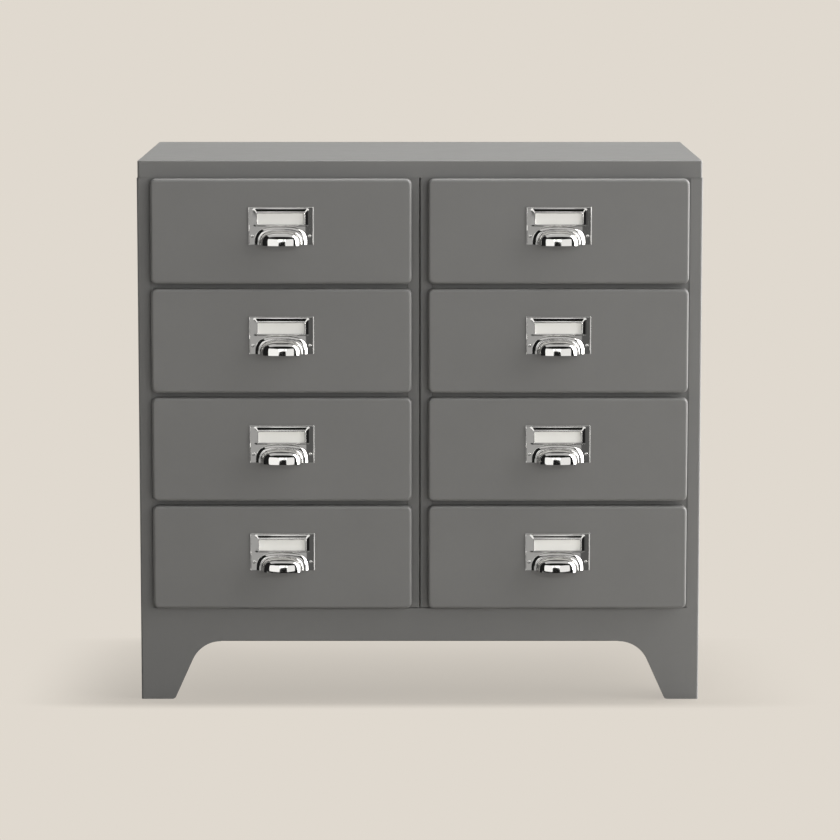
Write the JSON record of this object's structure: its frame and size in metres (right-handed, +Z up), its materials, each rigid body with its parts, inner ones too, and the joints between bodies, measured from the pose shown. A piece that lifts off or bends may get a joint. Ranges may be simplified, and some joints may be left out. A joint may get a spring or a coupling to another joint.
{
  "type": "metal drawer cabinet",
  "caption": "Low free-standing sheet-metal cabinet on four short feet, with two columns of drawers, each front carrying a chrome label-holder cup pull.",
  "frame": {"origin": "centre of the whole object's footprint, at floor level", "axes": "+X to the viewer's right along the cabinet's width, -Y out of the drawer fronts, +Z up"},
  "size_m": [0.68, 0.415, 0.658],
  "materials": {
    "paint": "satin",
    "chrome": "polished",
    "card": "matte",
    "glides": "matte",
    "guides": "satin"
  },
  "bodies": {
    "casing": {"back_panel": "paint", "bottom_panel": "paint", "centre_upright_left": "paint", "centre_upright_right": "paint", "corner_glides": "glides", "front_apron": "paint", "front_jamb_left": "paint", "front_jamb_right": "paint", "front_rails_left": "paint", "front_rails_right": "paint", "guides_inner_left": "guides", "guides_inner_right": "guides", "guides_outer_left": "guides", "guides_outer_right": "guides", "rear_post_centre": "paint", "rear_post_left": "paint", "rear_post_right": "paint", "side_panel_left": "paint", "side_panel_right": "paint", "top_tray": "paint"},
    "drawer_1": {"drawer_1_front": "paint", "drawer_1_label_card": "card", "drawer_1_pull": "chrome", "drawer_1_screws": "chrome", "drawer_1_tray": "paint"},
    "drawer_2": {"drawer_2_front": "paint", "drawer_2_label_card": "card", "drawer_2_pull": "chrome", "drawer_2_screws": "chrome", "drawer_2_tray": "paint"},
    "drawer_3": {"drawer_3_front": "paint", "drawer_3_label_card": "card", "drawer_3_pull": "chrome", "drawer_3_screws": "chrome", "drawer_3_tray": "paint"},
    "drawer_4": {"drawer_4_front": "paint", "drawer_4_label_card": "card", "drawer_4_pull": "chrome", "drawer_4_screws": "chrome", "drawer_4_tray": "paint"},
    "drawer_5": {"drawer_5_front": "paint", "drawer_5_label_card": "card", "drawer_5_pull": "chrome", "drawer_5_screws": "chrome", "drawer_5_tray": "paint"},
    "drawer_6": {"drawer_6_front": "paint", "drawer_6_label_card": "card", "drawer_6_pull": "chrome", "drawer_6_screws": "chrome", "drawer_6_tray": "paint"},
    "drawer_7": {"drawer_7_front": "paint", "drawer_7_label_card": "card", "drawer_7_pull": "chrome", "drawer_7_screws": "chrome", "drawer_7_tray": "paint"},
    "drawer_8": {"drawer_8_front": "paint", "drawer_8_label_card": "card", "drawer_8_pull": "chrome", "drawer_8_screws": "chrome", "drawer_8_tray": "paint"}
  },
  "joints": [
    {"name": "drawer_1", "type": "slide", "parent": "casing", "child": "drawer_1", "axis": [0, -1, 0], "range_m": [0, 0.27]},
    {"name": "drawer_2", "type": "slide", "parent": "casing", "child": "drawer_2", "axis": [0, -1, 0], "range_m": [0, 0.27]},
    {"name": "drawer_3", "type": "slide", "parent": "casing", "child": "drawer_3", "axis": [0, -1, 0], "range_m": [0, 0.27]},
    {"name": "drawer_4", "type": "slide", "parent": "casing", "child": "drawer_4", "axis": [0, -1, 0], "range_m": [0, 0.27]},
    {"name": "drawer_5", "type": "slide", "parent": "casing", "child": "drawer_5", "axis": [0, -1, 0], "range_m": [0, 0.27]},
    {"name": "drawer_6", "type": "slide", "parent": "casing", "child": "drawer_6", "axis": [0, -1, 0], "range_m": [0, 0.27]},
    {"name": "drawer_7", "type": "slide", "parent": "casing", "child": "drawer_7", "axis": [0, -1, 0], "range_m": [0, 0.27]},
    {"name": "drawer_8", "type": "slide", "parent": "casing", "child": "drawer_8", "axis": [0, -1, 0], "range_m": [0, 0.27]}
  ]
}
